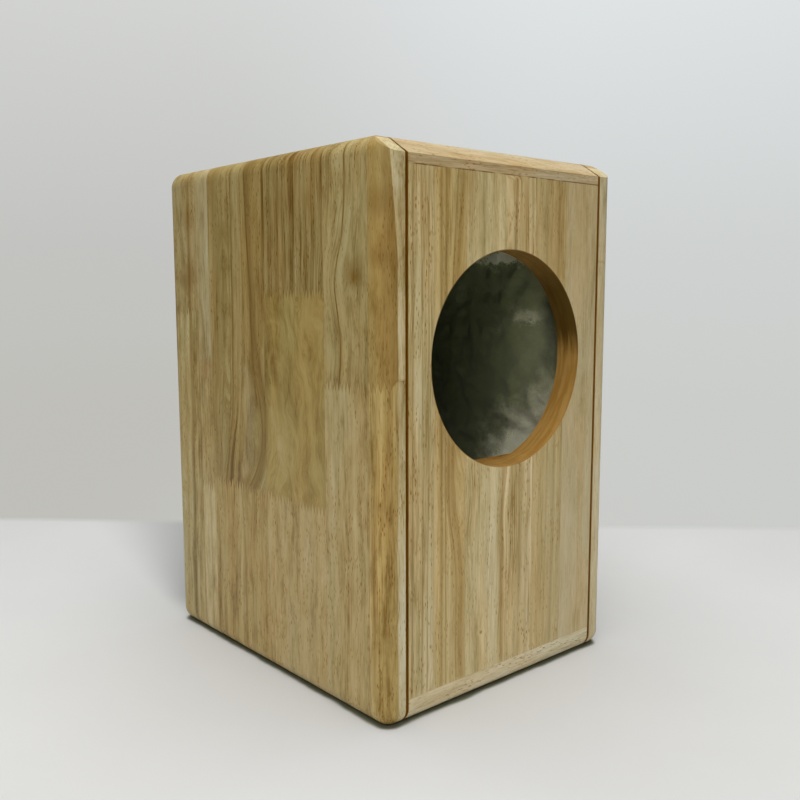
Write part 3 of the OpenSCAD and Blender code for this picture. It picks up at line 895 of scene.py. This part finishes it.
# The cabinet's soft shadow on the floor: how far left it begins in metres, how much further for each
# metre ahead, how much its edge blurs for each metre ahead, and its strength
CAST_BEGIN = 0.168
CAST_SPREAD = 0.48
CAST_BLUR = 0.23
CAST_STRENGTH = 0.42

# The painted contact shadow under the cabinet: half the size of its flat underside in mm, how much its
# edge wavers, where it ends and begins outside the underside, and what it multiplies the floor by
FOOT = (106.0, 131.0)
CONTACT_SHADOW_WAVER = 7.0
CONTACT_SHADOW_EDGE = (12.0, 7.8)
CONTACT_SHADOW_TINT = (0.30, 0.31, 0.22)

# The round backdrop, in metres and flat sides
ROOM_RADIUS = 1.6
ROOM_HEIGHT = 2.6
ROOM_SIDES = 96


def camera():
    """The viewpoint: off the cabinet's left front corner, a little above its middle."""
    data = bpy.data.cameras.new("camera")
    data.lens = LENS
    data.sensor_width = SENSOR
    eye = bpy.data.objects.new("camera", data)
    forward = Vector(LOOK).normalized()
    roll = Matrix.Rotation(ROLL, 4, forward)
    right = roll @ forward.cross(Vector((0, 0, 1))).normalized()
    up = right.cross(forward)
    eye.matrix_world = Matrix((right, up, -forward)).transposed().to_4x4()
    eye.location = EYE
    bpy.context.scene.collection.objects.link(eye)
    bpy.context.scene.camera = eye


def area_light(name, place, aim, size, power, colour):
    """A square lamp, size metres wide, that points at aim."""
    data = bpy.data.lights.new(name, "AREA")
    data.size = size
    data.energy = power
    data.color = colour
    lamp = bpy.data.objects.new(name, data)
    lamp.location = place
    lamp.rotation_euler = (Vector(aim) - Vector(place)).to_track_quat("-Z", "Y").to_euler()
    bpy.context.scene.collection.objects.link(lamp)


def lights():
    """Soft light: a dim sky, a broad lamp overhead and a smaller one from the camera's side."""
    world = bpy.data.worlds.new("room")
    world.use_nodes = True
    background = world.node_tree.nodes["Background"]
    background.inputs["Color"].default_value = (0.93, 0.97, 1.0, 1)
    background.inputs["Strength"].default_value = 0.07
    bpy.context.scene.world = world
    area_light("overhead", (-0.1, -0.1, 2.3), (0, 0, 0), 2.4, 58, (1.0, 0.99, 0.975))
    area_light("key", (-1.5, -1.5, 1.6), (0, 0, 0.2), 1.2, 17, (1.0, 0.985, 0.96))


def stage_sheet(name, corners, faces, material):
    """A part of the room, made of plain faces."""
    mesh = bpy.data.meshes.new(name)
    mesh.from_pydata(corners, [], faces)
    mesh.materials.append(material)
    made = bpy.data.objects.new(name, mesh)
    bpy.context.scene.collection.objects.link(made)
    return made


def wall_light(graph):
    """The backdrop's painted light, which it gives off as a glow: lighter towards its top and its right.
    """
    x, y, z = graph.place
    cloud = graph.noise(x * 0.002, y * 0.002, z * 0.002, detail=4.0) - 0.5
    height = z * MM + cloud * 0.06
    left = graph.ramp(height, [(0.0, (0.525, 0.52, 0.49, 1)), (0.4, (0.545, 0.55, 0.53, 1)),
                               (1.0, (0.65, 0.66, 0.65, 1))])
    side = (x * AHEAD[1] - y * AHEAD[0]).step(-500.0, 500.0)
    bright = graph.blend(side, (1.0, 1.0, 1.0), (1.14, 1.17, 1.20))
    return graph.blend(1.0, left.outputs["Color"], bright, "MULTIPLY")


def floor_paper():
    """Pale card that beyond a line behind the cabinet turns into the backdrop and glows with its painted
    light. The cabinet's shadows are drawn on it too, as painted shadows softer than the lamps would make
    them."""
    graph = Graph("floor_paper")
    x, y, _ = graph.place
    ahead = (x * AHEAD[0] + y * AHEAD[1]) * MM
    aside = (x * AHEAD[1] - y * AHEAD[0]) * MM
    cloud = graph.noise(x * 0.004, y * 0.004, 0.0, detail=4.0) - 0.5
    beyond = ahead - FLOOR_END + aside * FLOOR_SLANT + cloud * FLOOR_WAVER
    far = beyond.step(-FLOOR_BLUR, FLOOR_BLUR)
    shade = graph.blend(far, FLOOR_COLOUR, (0.0, 0.0, 0.0))
    tint = graph.ramp(cloud + 0.5, [(0.3, (0.975, 0.975, 0.975, 1)), (0.7, (1.02, 1.02, 1.02, 1))])
    colour = graph.blend(1.0, shade, tint.outputs["Color"], "MULTIPLY")
    inside = (aside + CAST_BEGIN + ahead * CAST_SPREAD) / (ahead * CAST_BLUR).most(0.012)
    cast = inside.step(-0.6, 1.4) * ahead.step(0.03, 0.09) * aside.step(0.05, -0.15)
    colour = graph.blend(cast * CAST_STRENGTH, colour, (0.0, 0.0, 0.0))
    ragged = graph.noise(x * 0.03, y * 0.03, 0.0, detail=2.0) - 0.5
    out = (abs(x) - FOOT[0]).most(0.0).length_with((abs(y) - FOOT[1]).most(0.0))
    # Painted contact shadow along the cabinet's underside
    colour = graph.tinted((out + ragged * CONTACT_SHADOW_WAVER).step(*CONTACT_SHADOW_EDGE), colour, CONTACT_SHADOW_TINT)
    return graph.finish(Base_Color=colour, Roughness=0.9, Specular_IOR_Level=0.0,
                        Emission_Color=wall_light(graph), Emission_Strength=far)


def backdrop_paper():
    """A backdrop that gives its own light. Only the camera sees it."""
    graph = Graph("backdrop_paper")
    return graph.finish(Base_Color=(0, 0, 0, 1), Roughness=1.0, Specular_IOR_Level=0.0,
                        Emission_Color=wall_light(graph), Emission_Strength=1.0)


def room():
    """A pale floor inside a round backdrop, which lights nothing and casts no shadow."""
    count = ROOM_SIDES
    turns = [math.tau * i / count for i in range(count)]
    ring = [(ROOM_RADIUS * math.cos(turn), ROOM_RADIUS * math.sin(turn)) for turn in turns]
    stage_sheet("floor", [(x, y, 0) for x, y in ring], [tuple(range(count))], floor_paper())
    corners = [(x, y, 0) for x, y in ring] + [(x, y, ROOM_HEIGHT) for x, y in ring]
    faces = [(i, i + count, (i + 1) % count + count, (i + 1) % count) for i in range(count)]
    wall = stage_sheet("backdrop", corners, faces, backdrop_paper())
    wall.visible_diffuse = False
    wall.visible_glossy = False
    wall.visible_shadow = False


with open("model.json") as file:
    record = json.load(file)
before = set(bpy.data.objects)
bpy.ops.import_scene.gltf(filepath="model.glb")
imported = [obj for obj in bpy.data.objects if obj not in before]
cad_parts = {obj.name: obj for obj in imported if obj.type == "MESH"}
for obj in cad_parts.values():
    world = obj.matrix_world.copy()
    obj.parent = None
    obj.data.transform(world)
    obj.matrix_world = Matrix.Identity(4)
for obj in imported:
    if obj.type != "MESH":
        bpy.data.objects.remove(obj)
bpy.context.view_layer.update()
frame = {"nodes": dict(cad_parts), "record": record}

camera()
lights()
room()
bpy.context.scene.view_settings.view_transform = "Standard"

WOODS = {
    "left_side_panel": board_wood("left_side_panel", "+y", "+z", "+x",
                                  LEFT_STAVES, LEFT_FIGURES, LEFT_KNOTS, sapwood=True, rough=1.3),
    "right_side_panel": board_wood("right_side_panel", "+y", "+z", "-x", RIGHT_STAVES, seed=11.0),
    "front_baffle": board_wood("front_baffle", "+x", "+z", "+y",
                               FRONT_STAVES, FRONT_FIGURES, FRONT_KNOTS, fade=0.18, rough=0.5),
    "rear_panel": board_wood("rear_panel", "+x", "+z", "-y", other_staves(8, 200, 354, 1), seed=23.0),
    "top_panel": board_wood("top_panel", "+y", "+x", "-z", TOP_STAVES, seed=37.0),
    "bottom_panel": board_wood("bottom_panel", "+y", "+x", "+z", BOTTOM_STAVES, seed=51.0),
    "front_brace": board_wood("front_brace", "+z", "+x", "+y", other_staves(6, 30, 200, 0), seed=67.0),
    "panel_dowels": board_wood("panel_dowels", "+y", "+x", "+z", other_staves(7, 286, 236, 0), seed=71.0),
}
for node, wood in WOODS.items():
    paint(node, wood)

FINISHES = {
    "port_plastic": moulded("port_plastic", (0.022, 0.022, 0.024), 0.42),
    "cup_plastic": moulded("cup_plastic", (0.024, 0.024, 0.026), 0.40),
    "red_plastic": moulded("red_plastic", (0.42, 0.012, 0.014), 0.24, grain=0.01),
    "black_plastic": moulded("black_plastic", (0.018, 0.018, 0.020), 0.24, grain=0.01),
    "gasket_foam": foam("gasket_foam", (0.045, 0.045, 0.045)),
    "screw_steel": metal("screw_steel", (0.10, 0.10, 0.11), 0.38),
    "plated_brass": metal("plated_brass", (0.86, 0.64, 0.26), 0.20),
    "plated_steel": metal("plated_steel", (0.66, 0.66, 0.68), 0.28),
}
for part in frame["record"]["subparts"]:
    if part["material_slot"] in FINISHES:
        paint(part["node"], FINISHES[part["material_slot"]])

fibre = wadding_fibre()
for number, (node, (axis, side)) in enumerate(SHEETS.items()):
    wadding_sheet(node, axis, side, fibre, number)
